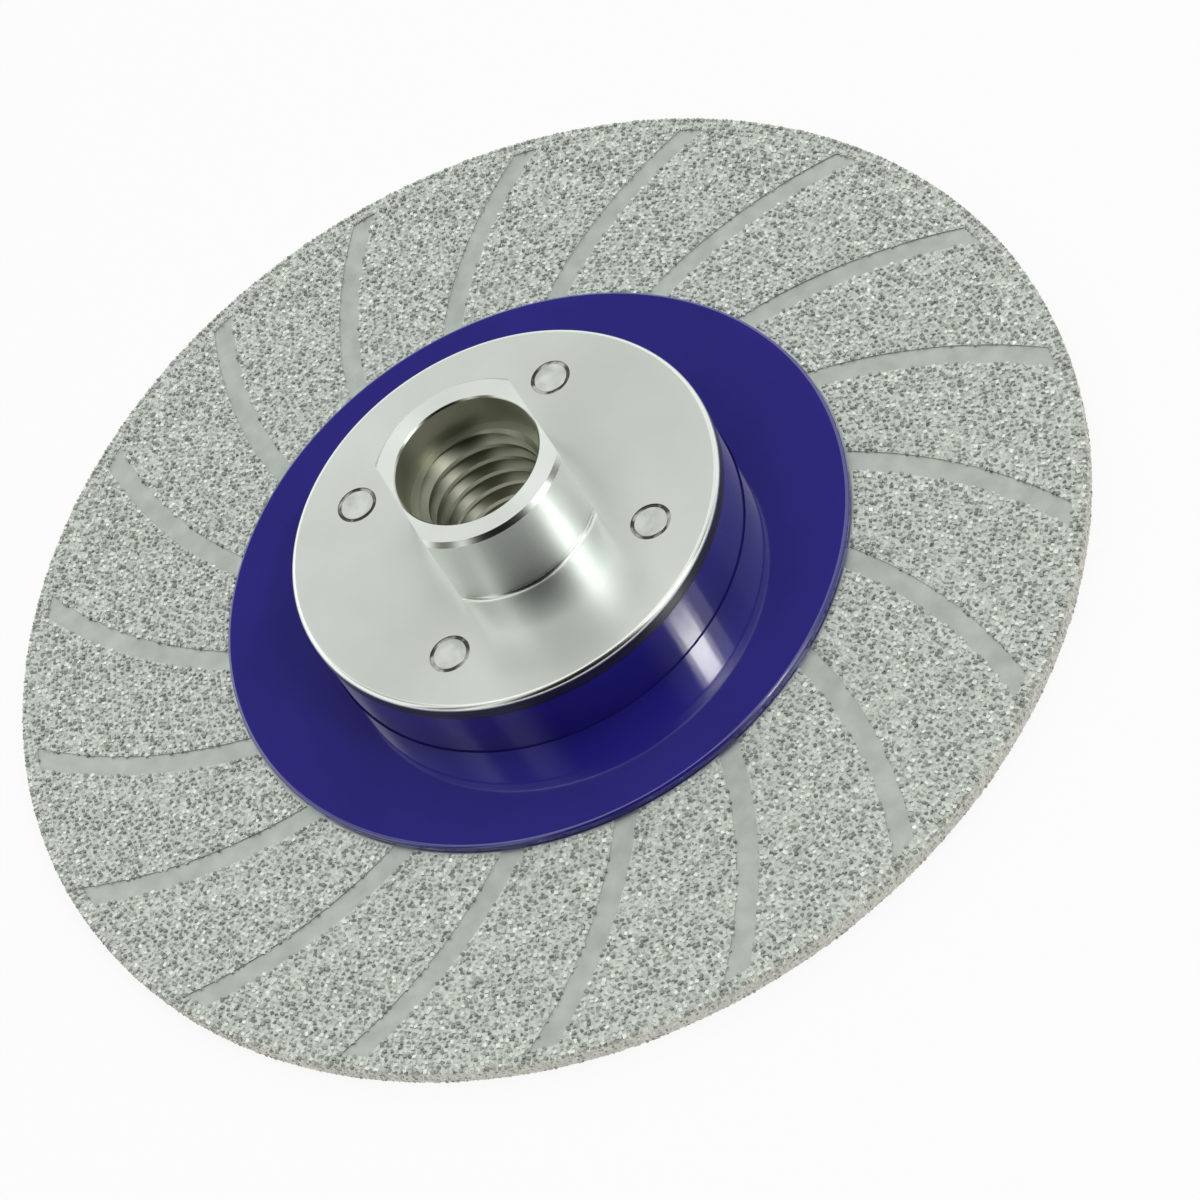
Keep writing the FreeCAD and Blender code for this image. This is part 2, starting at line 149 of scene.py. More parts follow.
RIM_SEED = 77
FRONT_SEEDS = (11, 12)
BACK_SEEDS = (23, 24)
RIM_STAND = 0.1 * MM
RIM_TINT_RANGE = (62.2 * MM, 62.35 * MM)
RIM_TINT = (1.0, 0.94, 0.91)
GRAIN_TONE = "grain_tone"

# How far past the blank a point lies at the least if it belongs to the coat's outer skin
SKIN_MARGIN = 0.1 * MM

# Spindle thread, 11 turns to the inch
THREAD_PITCH = 25.4 / 11 * MM
THREAD_DEPTH = 1.2475 * MM
THREAD_CREST = THREAD_PITCH / 4
THREAD_ROOT = THREAD_PITCH / 8
THREAD_STEPS = 96
THREAD_ENTRY = 0.5 * MM
THREAD_TOP_GAP = 0.002 * MM
THREAD_BITE = 0.02 * MM
THREAD_SPARE_TURNS = 2


def lowest(node):
    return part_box(node)[0]


def highest(node):
    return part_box(node)[1]


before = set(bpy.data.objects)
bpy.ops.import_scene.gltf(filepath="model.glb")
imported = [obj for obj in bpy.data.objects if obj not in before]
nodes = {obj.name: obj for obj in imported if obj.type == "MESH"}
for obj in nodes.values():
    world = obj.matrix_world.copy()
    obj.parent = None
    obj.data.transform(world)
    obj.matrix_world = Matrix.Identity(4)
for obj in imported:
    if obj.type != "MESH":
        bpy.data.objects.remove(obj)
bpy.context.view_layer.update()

# Levels and radii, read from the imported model
BACK_FACE = lowest("diamond_coat").z
FRONT_FACE = highest("diamond_coat").z
DISC_RADIUS = highest("diamond_coat").x
BLANK_BACK = lowest("disc_blank").z
BLANK_FRONT = highest("disc_blank").z
BLANK_RADIUS = highest("disc_blank").x
BRIM_RADIUS = highest("spacer").x
CROWN_TOP = highest("spacer").z
PLATE_RADIUS = highest("threaded_flange").x
PLATE_TOP = highest("rivet_1").z
HUB_TOP = highest("threaded_flange").z

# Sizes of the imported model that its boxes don't show
COAT_INNER_RADIUS = 36.65 * MM
CENTRE_HOLE_RADIUS = 11.155 * MM
BRIM_THICKNESS = 1.05 * MM
BRIM_ROUND = 0.4 * MM
CROWN_RADIUS = 24.7 * MM
PLATE_THICKNESS = 2.0 * MM
PLATE_ROUND = 0.6 * MM
SPIGOT_RADIUS = 11.115 * MM
HUB_RADIUS = 11.0 * MM
HUB_CHAMFER = 0.5 * MM
HALF_SPANNER = 8.5 * MM
COUNTERBORE_RADIUS = 8.2 * MM
COUNTERBORE_DEPTH = 4.5 * MM
COUNTERBORE_CHAMFER = 0.2 * MM
THREAD_RADIUS = 7.9375 * MM
THREAD_EXIT = 0.8 * MM
RIVET_COUNT = 4
RIVET_START = math.radians(45)
RIVET_CIRCLE_RADIUS = 18.0 * MM
RIVET_HEAD_RADIUS = 2.3 * MM
RIVET_TAIL_RADIUS = 2.4 * MM
RIVET_SHANK_RADIUS = 1.6 * MM
RIVET_HEAD_HEIGHT = 0.7 * MM

# Fine forms that only this model has. The crown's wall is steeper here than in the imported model.
CROWN_DRAFT = 0.02 * MM
FOOT_GROOVE = 0.15 * MM
HUB_FOOT_ROUND = 0.6 * MM
RIVET_RING_GAP = 0.42 * MM
RIVET_RING_DEPTH = 0.12 * MM
RIVET_BEVEL = 0.05 * MM
RIVET_TAIL_SETBACK = 0.02 * MM

COUNTERBORE_FLOOR = HUB_TOP - COUNTERBORE_DEPTH
BRIM_TOP = BLANK_FRONT + BRIM_THICKNESS
PLATE_BOTTOM = PLATE_TOP - PLATE_THICKNESS


def new_material(name):
    material = bpy.data.materials.new(name)
    material.use_nodes = True
    tree = material.node_tree
    return material, tree, tree.nodes["Principled BSDF"]


def add(tree, kind, **inputs):
    """Node of that kind, with the inputs and settings that are named."""
    node = tree.nodes.new(kind)
    for key, value in inputs.items():
        if key in node.inputs:
            node.inputs[key].default_value = value
        else:
            setattr(node, key, value)
    return node


def ramp(tree, source, places, tones):
    """Colour ramp from one tone to another over the places between the two of a source value."""
    node = tree.nodes.new("ShaderNodeValToRGB")
    for element, place, tone in zip(node.color_ramp.elements, places, tones):
        element.position = place
        element.color = (*tone, 1)
    tree.links.new(source, node.inputs["Fac"])
    return node.outputs["Color"]


def cloudy_tone(tree, place, tones, scale, detail, edges=CLOUD_EDGES):
    """Tone that drifts in soft clouds from the first of two tones to the second."""
    cloud = add(tree, "ShaderNodeTexNoise", Scale=scale, Detail=detail)
    tree.links.new(place.outputs["Object"], cloud.inputs["Vector"])
    return ramp(tree, cloud.outputs["Fac"], edges, tones)


def axis_reach(tree, place):
    """Distance of a point from the spindle axis."""
    flat = add(tree, "ShaderNodeVectorMath", operation="MULTIPLY")
    flat.inputs[1].default_value = (1, 1, 0)
    tree.links.new(place.outputs["Object"], flat.inputs[0])
    reach = add(tree, "ShaderNodeVectorMath", operation="LENGTH")
    tree.links.new(flat.outputs["Vector"], reach.inputs[0])
    return reach.outputs["Value"]


def tinted(tree, place, tone, start, full, tint):
    """The tone, multiplied by a tint that sets in between two distances from the spindle axis."""
    share = add(tree, "ShaderNodeMapRange")
    share.inputs["From Min"].default_value = start
    share.inputs["From Max"].default_value = full
    tree.links.new(axis_reach(tree, place), share.inputs["Value"])
    mix = add(tree, "ShaderNodeMix", data_type="RGBA", blend_type="MULTIPLY")
    tree.links.new(share.outputs["Result"], mix.inputs["Factor"])
    tree.links.new(tone, mix.inputs[MIX_COLOUR_A])
    mix.inputs[MIX_COLOUR_B].default_value = (*tint, 1)
    return mix.outputs[MIX_COLOUR_RESULT]


def brush_round(tree, place, shader):
    """Let the brushing of a metal run round the spindle axis."""
    groove = add(tree, "ShaderNodeVectorMath", operation="CROSS_PRODUCT")
    groove.inputs[0].default_value = (0, 0, 1)
    tree.links.new(place.outputs["Object"], groove.inputs[1])
    along = add(tree, "ShaderNodeVectorMath", operation="NORMALIZE")
    tree.links.new(groove.outputs["Vector"], along.inputs[0])
    tree.links.new(along.outputs["Vector"], shader.inputs["Tangent"])


def turned_steel(name, roughness, brushing):
    """Lathe-turned steel: grooves round the spindle axis, a soft cloudiness and painted shade that darkens
    the bore.
    """
    material, tree, shader = new_material(name)
    links = tree.links
    shader.inputs["Metallic"].default_value = 1.0
    shader.inputs["Anisotropic"].default_value = brushing
    shader.inputs["Anisotropic Rotation"].default_value = QUARTER_TURN
    place = add(tree, "ShaderNodeTexCoord")
    brush_round(tree, place, shader)
    tone = cloudy_tone(tree, place, TURNED_TONES, scale=120.0, detail=2.0)
    # Painted shade: darker near the axis, inside the counterbore and the bore
    tone = tinted(tree, place, tone, COUNTERBORE_RADIUS + COUNTERBORE_CHAMFER, COUNTERBORE_RADIUS,
                  BORE_PAINTED_SHADE_TINT)
    links.new(tone, shader.inputs["Base Color"])
    rings = add(tree, "ShaderNodeTexWave", wave_type="RINGS", rings_direction="Z", Scale=1500.0,
                Distortion=1.5, Detail=2.0)
    links.new(place.outputs["Object"], rings.inputs["Vector"])
    rough = add(tree, "ShaderNodeMapRange")
    rough.inputs["To Min"].default_value = roughness - GROOVE_ROUGHNESS
    rough.inputs["To Max"].default_value = roughness + GROOVE_ROUGHNESS
    links.new(rings.outputs["Fac"], rough.inputs["Value"])
    links.new(rough.outputs["Result"], shader.inputs["Roughness"])
    return material


def side_steel_painted_shade():
    """Steel of the plate's side, darkened by painted shade, with marks that run round it."""
    material, tree, shader = new_material("side_steel_painted_shade")
    shader.inputs["Metallic"].default_value = 1.0
    shader.inputs["Roughness"].default_value = 0.3
    place = add(tree, "ShaderNodeTexCoord")
    squeeze = add(tree, "ShaderNodeVectorMath", operation="MULTIPLY")
    squeeze.inputs[1].default_value = SIDE_MARK_STRETCH
    tree.links.new(place.outputs["Object"], squeeze.inputs[0])
    marks = add(tree, "ShaderNodeTexNoise", Scale=1.0, Detail=3.0)
    tree.links.new(squeeze.outputs["Vector"], marks.inputs["Vector"])
    tone = ramp(tree, marks.outputs["Fac"], CLOUD_EDGES, SIDE_PAINTED_SHADE_TONES)
    tree.links.new(tone, shader.inputs["Base Color"])
    return material


def ring_painted_shade():
    """Patchy painted shade at the bottom of the fine rings round the rivets."""
    material, tree, shader = new_material("ring_painted_shade")
    place = add(tree, "ShaderNodeTexCoord")
    tone = cloudy_tone(tree, place, RING_PAINTED_SHADE_TONES, scale=650.0, detail=2.0, edges=RING_PAINTED_SHADE_EDGES)
    tree.links.new(tone, shader.inputs["Base Color"])
    shader.inputs["Roughness"].default_value = 0.6
    return material


def peened_steel():
    """Rivet heads, a little darker and blotchy from the hammering."""
    material, tree, shader = new_material("peened_steel")
    shader.inputs["Metallic"].default_value = 1.0
    place = add(tree, "ShaderNodeTexCoord")
    tone = cloudy_tone(tree, place, RIVET_TONES, scale=550.0, detail=3.0, edges=BLOTCH_EDGES)
    tree.links.new(tone, shader.inputs["Base Color"])
    shader.inputs["Roughness"].default_value = 0.4
    return material


def satin_steel():
    """Plain plated sheet, seen in the lanes and on the back."""
    material, tree, shader = new_material("satin_steel")
    shader.inputs["Metallic"].default_value = 1.0
    place = add(tree, "ShaderNodeTexCoord")
    tone = cloudy_tone(tree, place, SATIN_TONES, scale=420.0, detail=4.0)
    tree.links.new(tone, shader.inputs["Base Color"])
    shader.inputs["Roughness"].default_value = 0.45
    return material


def blue_plastic():
    """Glossy moulded plastic under a clear polish, with a faint unevenness of its blue."""
    material, tree, shader = new_material("blue_plastic")
    shader.inputs["Roughness"].default_value = 0.14
    shader.inputs["IOR"].default_value = 1.5
    shader.inputs["Specular IOR Level"].default_value = 0.12
    shader.inputs["Coat Weight"].default_value = 1.0
    shader.inputs["Coat Roughness"].default_value = 0.06
    shader.inputs["Coat IOR"].default_value = 1.85
    place = add(tree, "ShaderNodeTexCoord")
    tone = cloudy_tone(tree, place, BLUE_TONES, scale=90.0, detail=3.0)
    tree.links.new(tone, shader.inputs["Base Color"])
    return material


def nickel_bond():
    """Dull nickel plating between the grains."""
    material, tree, shader = new_material("nickel_bond")
    links = tree.links
    shader.inputs["Metallic"].default_value = 0.9
    place = add(tree, "ShaderNodeTexCoord")
    cells = add(tree, "ShaderNodeTexVoronoi", Scale=2100.0)
    links.new(place.outputs["Object"], cells.inputs["Vector"])
    tone = ramp(tree, cells.outputs["Distance"], WHOLE_RANGE, NICKEL_TONES)
    tone = tinted(tree, place, tone, *RIM_TINT_RANGE, RIM_TINT)
    links.new(tone, shader.inputs["Base Color"])
    shader.inputs["Roughness"].default_value = 0.5
    return material


def diamond_grain():
    """Crystals of the grit, each in its own tone from smoky grey to clear white."""
    material, tree, shader = new_material("diamond_grain")
    links = tree.links
    shader.inputs["Metallic"].default_value = 0.35
    place = add(tree, "ShaderNodeTexCoord")
    own = add(tree, "ShaderNodeAttribute", attribute_name=GRAIN_TONE)
    tone = ramp(tree, own.outputs["Fac"], WHOLE_RANGE, DIAMOND_TONES)
    tone = tinted(tree, place, tone, *RIM_TINT_RANGE, RIM_TINT)
    links.new(tone, shader.inputs["Base Color"])
    shader.inputs["Roughness"].default_value = 0.42
    return material


def finish_piece(name, bm, materials, replaced=(), smooth=True):
    """Make the piece from its bmesh, shade it, give it its materials and let it ride on the disc."""
    mesh = bpy.data.meshes.new(name)
    bm.to_mesh(mesh)
    bm.free()
    for material in materials:
        mesh.materials.append(material)
    piece = bpy.data.objects.new(name, mesh)
    bpy.context.scene.collection.objects.link(piece)
    if smooth:
        mesh.shade_smooth()
        mesh.set_sharp_from_angle(angle=SHARP_ANGLE)
        even = piece.modifiers.new("even_normals", "WEIGHTED_NORMAL")
        even.keep_sharp = True
    else:
        mesh.shade_flat()
    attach(piece, "root")
    if replaced:
        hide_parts(*replaced)


def close_loop(bm, corners):
    return [bm.edges.new((corner, corners[(i + 1) % len(corners)])) for i, corner in enumerate(corners)]


def lathe(profile, steps=FINE_STEPS, centre=(0, 0)):
    """Turn a closed loop of (radius, height) points about an upright axis."""
    bm = bmesh.new()
    corners = [bm.verts.new((centre[0] + radius, centre[1], height)) for radius, height in profile]
    edges = close_loop(bm, corners)
    bmesh.ops.spin(bm, geom=corners + edges, cent=(centre[0], centre[1], 0), axis=(0, 0, 1),
                   angle=FULL_TURN, steps=steps, use_merge=True)
    bmesh.ops.remove_doubles(bm, verts=bm.verts, dist=WELD)
    bmesh.ops.recalc_face_normals(bm, faces=bm.faces)
    return bm


def round_corner(corner, before, after, radius, segments=ROUND_STEPS):
    """Points of a rounded corner of a profile, from the run before it to the run after it."""
    corner, before, after = Vector(corner), Vector(before), Vector(after)
    back = (before - corner).normalized()
    ahead = (after - corner).normalized()
    half = back.angle(ahead) / 2
    reach = radius / math.tan(half)
    centre = corner + (back + ahead).normalized() * (radius / math.sin(half))
    start = corner + back * reach - centre
    end = corner + ahead * reach - centre
    whole = start.angle(end)
    points = []
    for i in range(segments + 1):
        share = i / segments
        mixed = start * math.sin((1 - share) * whole) + end * math.sin(share * whole)
        points.append(tuple(centre + mixed / math.sin(whole)))
    return points


def use_material(bm, index, wanted):
    """Give the faces that pass the test another of the piece's materials."""
    for face in bm.faces:
        if wanted(face):
            face.material_index = index


def cut_away(bm, point, way, weld):
    """Cut off what lies past a plane, on the side that way points to, and close the cut."""
    cut = bmesh.ops.bisect_plane(bm, geom=bm.verts[:] + bm.edges[:] + bm.faces[:], dist=weld,
                                 plane_co=point, plane_no=way, clear_outer=True)
    rim = [item for item in cut["geom_cut"] if isinstance(item, bmesh.types.BMEdge)]
    bmesh.ops.holes_fill(bm, edges=rim, sides=0)


def on_ring(edge, radius, height):
    """Whether an edge lies on a circle of that radius and height about the spindle axis."""
    for vert in edge.verts:
        if abs(vert.co.z - height) > RING_SLACK:
            return False
        if abs(math.hypot(vert.co.x, vert.co.y) - radius) > RING_SLACK:
            return False
    return True


def rivet_places():
    places = []
    for k in range(RIVET_COUNT):
        angle = RIVET_START + k * FULL_TURN / RIVET_COUNT
        places.append((RIVET_CIRCLE_RADIUS * math.cos(angle), RIVET_CIRCLE_RADIUS * math.sin(angle)))
    return places


def make_plate(steel, smooth_steel, side):
    """Flange plate: a flat ring with four rivet holes, extruded, with its top edge rounded."""
    bm = bmesh.new()
    circles = [((0, 0), PLATE_RADIUS, FINE_STEPS), ((0, 0), THREAD_RADIUS, FINE_STEPS // 2)]
    for place in rivet_places():
        circles.append((place, RIVET_HEAD_RADIUS, RIVET_STEPS))
    for (x, y), radius, steps in circles:
        bmesh.ops.create_circle(bm, segments=steps, radius=radius,
                                matrix=Matrix.Translation((x, y, PLATE_BOTTOM)))
    bmesh.ops.triangle_fill(bm, use_beauty=True, use_dissolve=False, edges=bm.edges)
    raised = bmesh.ops.extrude_face_region(bm, geom=bm.faces[:])
    lifted = [item for item in raised["geom"] if isinstance(item, bmesh.types.BMVert)]
    bmesh.ops.translate(bm, verts=lifted, vec=(0, 0, PLATE_THICKNESS))
    bmesh.ops.recalc_face_normals(bm, faces=bm.faces)
    rim = [edge for edge in bm.edges if on_ring(edge, PLATE_RADIUS, PLATE_TOP)]
    bmesh.ops.bevel(bm, geom=rim, offset=PLATE_ROUND, offset_type="OFFSET",
                    segments=PLATE_ROUND_STEPS, profile=0.5, affect="EDGES", material=-1)
    finishes = [steel, smooth_steel, side]
    use_material(bm, finishes.index(smooth_steel), lambda face: abs(face.normal.z) < RIM_FACE_SLOPE)
    # The plate's side gets its painted shade
    use_material(bm, finishes.index(side), lambda face: abs(face.normal.z) < SIDE_FACE_SLOPE)
    finish_piece("flange_plate", bm, finishes, ["threaded_flange"])


def make_spigot(steel):
    """Spigot below the plate, coned open at the thread's lower end."""
    profile = [
        (THREAD_RADIUS + THREAD_EXIT, BLANK_BACK),
        (SPIGOT_RADIUS, BLANK_BACK),
        (SPIGOT_RADIUS, PLATE_BOTTOM),
        (THREAD_RADIUS, PLATE_BOTTOM),
        (THREAD_RADIUS, BLANK_BACK + THREAD_EXIT),
    ]
    bm = lathe(profile, PLAIN_STEPS)
    finish_piece("flange_spigot", bm, [steel], ["threaded_flange"])


def make_hub(steel, smooth_steel):
    """Hub above the plate: counterbored, chamfered, filleted at its foot and cut to two spanner flats."""
    foot = (HUB_RADIUS, PLATE_TOP)
    foot_arc = round_corner(foot, (PLATE_RADIUS, PLATE_TOP), (HUB_RADIUS, HUB_TOP), HUB_FOOT_ROUND)
    profile = foot_arc + [
        (HUB_RADIUS, HUB_TOP - HUB_CHAMFER),
        (HUB_RADIUS - HUB_CHAMFER, HUB_TOP),
        (COUNTERBORE_RADIUS + COUNTERBORE_CHAMFER, HUB_TOP),
        (COUNTERBORE_RADIUS, HUB_TOP - COUNTERBORE_CHAMFER),
        (COUNTERBORE_RADIUS, COUNTERBORE_FLOOR),
        (THREAD_RADIUS, COUNTERBORE_FLOOR),
        (THREAD_RADIUS, PLATE_TOP),
    ]
    bm = lathe(profile)
    for side in (1, -1):
        cut_away(bm, (side * HALF_SPANNER, 0, 0), (side, 0, 0), WELD)
    bmesh.ops.recalc_face_normals(bm, faces=bm.faces)
    finishes = [steel, smooth_steel]
    use_material(bm, finishes.index(smooth_steel),
                 lambda face: SIDE_FACE_SLOPE < face.normal.z < RIM_FACE_SLOPE)
    finish_piece("flange_hub", bm, finishes, ["threaded_flange"])


def make_thread(steel):
    """Right-hand ridge round the bore, cut off level at both ends and opened to a cone at its top."""
    low = BLANK_BACK + THREAD_EXIT / 2
    high = COUNTERBORE_FLOOR - THREAD_TOP_GAP
    base = THREAD_RADIUS + THREAD_BITE
    crest = THREAD_RADIUS - THREAD_DEPTH
    half_base = (THREAD_PITCH - THREAD_ROOT) / 2
    half_crest = THREAD_CREST / 2
    start = low - THREAD_PITCH
    turns = math.ceil((high - low) / THREAD_PITCH) + THREAD_SPARE_TURNS
    bm = bmesh.new()
    profile = [(base, -half_base), (crest, -half_crest), (crest, half_crest), (base, half_base)]
    corners = [bm.verts.new((radius, 0, start + height)) for radius, height in profile]
    edges = close_loop(bm, corners)
    steps = turns * THREAD_STEPS
    bmesh.ops.spin(bm, geom=corners + edges, cent=(0, 0, 0), axis=(0, 0, 1), angle=FULL_TURN * turns,
                   steps=steps, dvec=(0, 0, THREAD_PITCH / THREAD_STEPS))
    for level, way in ((low, -1), (high, 1)):
        cut_away(bm, (0, 0, level), (0, 0, way), THREAD_WELD)
    for vert in bm.verts:
        reach = math.hypot(vert.co.x, vert.co.y)
        cone = crest + max(0.0, vert.co.z - (high - THREAD_ENTRY))
        if reach < cone:
            vert.co.x *= cone / reach
            vert.co.y *= cone / reach
    bmesh.ops.recalc_face_normals(bm, faces=bm.faces)
    finish_piece("spindle_thread", bm, [steel], ["threaded_flange"])


def make_spacer(plastic):
    """Blue hat: rounded brim, a fine groove at the crown's foot and a slightly drafted crown."""
    crown_foot = CROWN_RADIUS + CROWN_DRAFT
    brim_arc = round_corner((BRIM_RADIUS, BRIM_TOP), (BRIM_RADIUS, BLANK_FRONT), (0, BRIM_TOP), BRIM_ROUND)
    profile = [
        (CENTRE_HOLE_RADIUS, BLANK_FRONT),
        (BRIM_RADIUS, BLANK_FRONT),
    ] + brim_arc + [
        (crown_foot + FOOT_GROOVE, BRIM_TOP),
        (crown_foot, BRIM_TOP - FOOT_GROOVE),
        (crown_foot, BRIM_TOP + FOOT_GROOVE),
        (CROWN_RADIUS, CROWN_TOP),
        (CENTRE_HOLE_RADIUS, CROWN_TOP),
    ]
    finish_piece("blue_spacer", lathe(profile), [plastic], ["spacer"])


def make_rivet(k, place, steel, ring_shade):
    """Solid rivet with a fine open ring round its flush head."""
    head = RIVET_HEAD_RADIUS - RIVET_RING_GAP
    tail_cone = RIVET_TAIL_RADIUS - RIVET_SHANK_RADIUS
    head_low = PLATE_TOP - RIVET_HEAD_HEIGHT
    head_cone = RIVET_HEAD_RADIUS - RIVET_SHANK_RADIUS
    back = BLANK_BACK + RIVET_TAIL_SETBACK
    ring_low = PLATE_TOP - RIVET_RING_DEPTH
    bevel_low = PLATE_TOP - RIVET_BEVEL
    profile = [
        (0, back),
        (RIVET_TAIL_RADIUS - RIVET_TAIL_SETBACK, back),
        (RIVET_SHANK_RADIUS, BLANK_BACK + tail_cone),
        (RIVET_SHANK_RADIUS, head_low - head_cone),
        (RIVET_HEAD_RADIUS, head_low),
        (RIVET_HEAD_RADIUS, ring_low),
        (head, ring_low),
        (head, bevel_low),
        (head - RIVET_BEVEL, PLATE_TOP),
        (0, PLATE_TOP),
    ]
    bm = lathe(profile, RIVET_STEPS, place)
    # Faces in the ring's groove get painted shade
    finishes = [steel, ring_shade]
    use_material(bm, finishes.index(ring_shade),
                 lambda face: ring_low - RIVET_RING_DEPTH < face.calc_center_median().z < bevel_low)
    finish_piece("rivet_head_%d" % k, bm, finishes, ["rivet_%d" % k])


def make_bond(nickel):
    """Plating under the grains: the coat's own form, let down so that the grains stand proud of it."""
    bm = bmesh.new()
    bm.from_mesh(nodes["diamond_coat"].data)
    bmesh.ops.remove_doubles(bm, verts=bm.verts, dist=WELD)
    rim_share = (DISC_RADIUS - RIM_STAND) / DISC_RADIUS
    for vert in bm.verts:
        if vert.co.z > BLANK_FRONT + SKIN_MARGIN:
            vert.co.z -= GRAIN_STAND
        elif vert.co.z < BLANK_BACK - SKIN_MARGIN:
            vert.co.z += GRAIN_STAND
        if math.hypot(vert.co.x, vert.co.y) > BLANK_RADIUS + SKIN_MARGIN:
            vert.co.x *= rim_share
            vert.co.y *= rim_share
    finish_piece("nickel_bond", bm, [nickel], ["diamond_coat"], smooth=False)


def lane_bend_centre():
    """Bend centre of the lane whose middle line starts on the X axis at the brim."""
    start = Vector((BRIM_RADIUS, 0))
    reach = DISC_RADIUS - LANE_RIM_MARGIN
    end = Vector((reach * math.cos(LANE_SWEEP), -reach * math.sin(LANE_SWEEP)))
    chord = end - start
    normal = Vector((-chord.y, chord.x)).normalized()
    return (start + end) / 2 - normal * math.sqrt(LANE_BEND_RADIUS ** 2 - (chord.length / 2) ** 2)


def lane_azimuth(centre, bend, radius):
    """Azimuth at which a circle about the bend centre crosses a radius about the spindle axis."""
    distance = centre.length
    along = (distance ** 2 + radius ** 2 - bend ** 2) / (2 * distance)
    across = math.acos(max(-1.0, min(1.0, along / radius)))
    away = math.atan2(centre.y, centre.x)
    options = [away + across, away - across]
    return min(options, key=lambda angle: abs(math.remainder(angle + LANE_SWEEP / 2, FULL_TURN)))


def new_grain():
    """Mesh of one crystal: a unit cube whose faces carry a tone."""
    bm = bmesh.new()
    bmesh.ops.create_cube(bm, size=1.0)
    mesh = bpy.data.meshes.new("grain")
    bm.to_mesh(mesh)
    bm.free()
    mesh.attributes.new(GRAIN_TONE, "FLOAT", "FACE")
    return mesh


def add_grain(bm, grain, rng, radius, place, outward):
    """One crystal, squashed and turned at random, whose highest corner comes just under the outer face.

    place is the point of the outer face over the crystal, and outward is the way the face looks.
    """
    turn = Matrix.Rotation(rng.uniform(0, FULL_TURN), 4, Vector([rng.gauss(0, 1) for _ in range(3)]))
    widths = [rng.uniform(*GRAIN_WIDTHS), rng.uniform(*GRAIN_WIDTHS)]
    squash = Matrix.Diagonal((*widths, rng.uniform(*GRAIN_HEIGHTS), 1))
    shape = turn @ squash
    corners = [shape @ vert.co for vert in grain.vertices]
    size = radius * rng.uniform(*GRAIN_SIZES) / max(corner.length for corner in corners)
    reach = max(corner.dot(outward) for corner in corners) * size
    centre = place - outward * (reach + rng.uniform(0, GRAIN_SINK))
    crystal = grain.copy()
    crystal.transform(Matrix.Translation(centre) @ Matrix.Scale(size, 4) @ shape)
    tone = rng.uniform(0, 1)
    crystal.attributes[GRAIN_TONE].data.foreach_set("value", [tone] * len(crystal.polygons))
    bm.from_mesh(crystal)
    bpy.data.meshes.remove(crystal)


def grit_span(centre, radius):
    """First and last azimuth of the grit between two lanes, at a distance from the spindle axis."""
    lane_end = DISC_RADIUS - LANE_RIM_MARGIN
    if radius > lane_end + LANE_EDGE_GAP:
        first = lane_azimuth(centre, LANE_BEND_RADIUS, lane_end)
        return first, first + LANE_PITCH
    margin = LANE_HALF_WIDTH + LANE_EDGE_GAP
    reach = min(radius, lane_end)
    first = lane_azimuth(centre, LANE_BEND_RADIUS + margin, reach)
    last = lane_azimuth(centre, LANE_BEND_RADIUS - margin, reach) + LANE_PITCH
    if last - first > LANE_PITCH:
        first, last = last - LANE_PITCH, first + LANE_PITCH
    return first, last


def scatter_face(seed, level, way):
    """Grains of one sector between two lanes, on the face at that level that looks up or down."""
    rng = random.Random(seed)
    grain = new_grain()
    centre = lane_bend_centre()
    bm = bmesh.new()
    radius = COAT_INNER_RADIUS + GRAIN_RADIUS
    while radius < DISC_RADIUS - GRAIN_RADIUS:
        first, last = grit_span(centre, radius)
        count = max(1, round((last - first) * radius / GRAIN_SPACING))
        for i in range(count):
            angle = first + (last - first) * (i + 0.5 + rng.uniform(-GRAIN_JITTER, GRAIN_JITTER)) / count
            out = min(radius + rng.uniform(-GRAIN_ROW_JITTER, GRAIN_ROW_JITTER), DISC_RADIUS - GRAIN_RADIUS)
            place = Vector((out * math.cos(angle), out * math.sin(angle), level))
            add_grain(bm, grain, rng, GRAIN_RADIUS, place, Vector((0, 0, way)))
        radius += GRAIN_ROW_STEP
    bpy.data.meshes.remove(grain)
    return bm


def repeat_sector(bm, count):
    """Copy what one sector between two lanes holds into the sectors that follow it."""
    bmesh.ops.spin(bm, geom=bm.verts[:] + bm.edges[:] + bm.faces[:], cent=(0, 0, 0), axis=(0, 0, 1),
                   angle=LANE_PITCH * (count - 1), steps=count - 1, use_duplicate=True)


def make_grains(name, seed, first_lane, count, level, way, material):
    """Grains of one face in a run of sectors, which all repeat the first one's scatter."""
    bm = scatter_face(seed, level, way)
    turn = Matrix.Rotation(LANE_PITCH * first_lane, 3, "Z")
    bmesh.ops.rotate(bm, cent=(0, 0, 0), matrix=turn, verts=bm.verts)
    repeat_sector(bm, count)
    bmesh.ops.recalc_face_normals(bm, faces=bm.faces)
    finish_piece(name, bm, [material], (), smooth=False)


def make_face_grains(face, seeds, level, way, material):
    """Grains of a whole face in two pieces, each on half of the sectors."""
    half = LANES // 2
    for part, seed, first_lane in zip("ab", seeds, (0, half)):
        make_grains("%s_grains_%s" % (face, part), seed, first_lane, half, level, way, material)


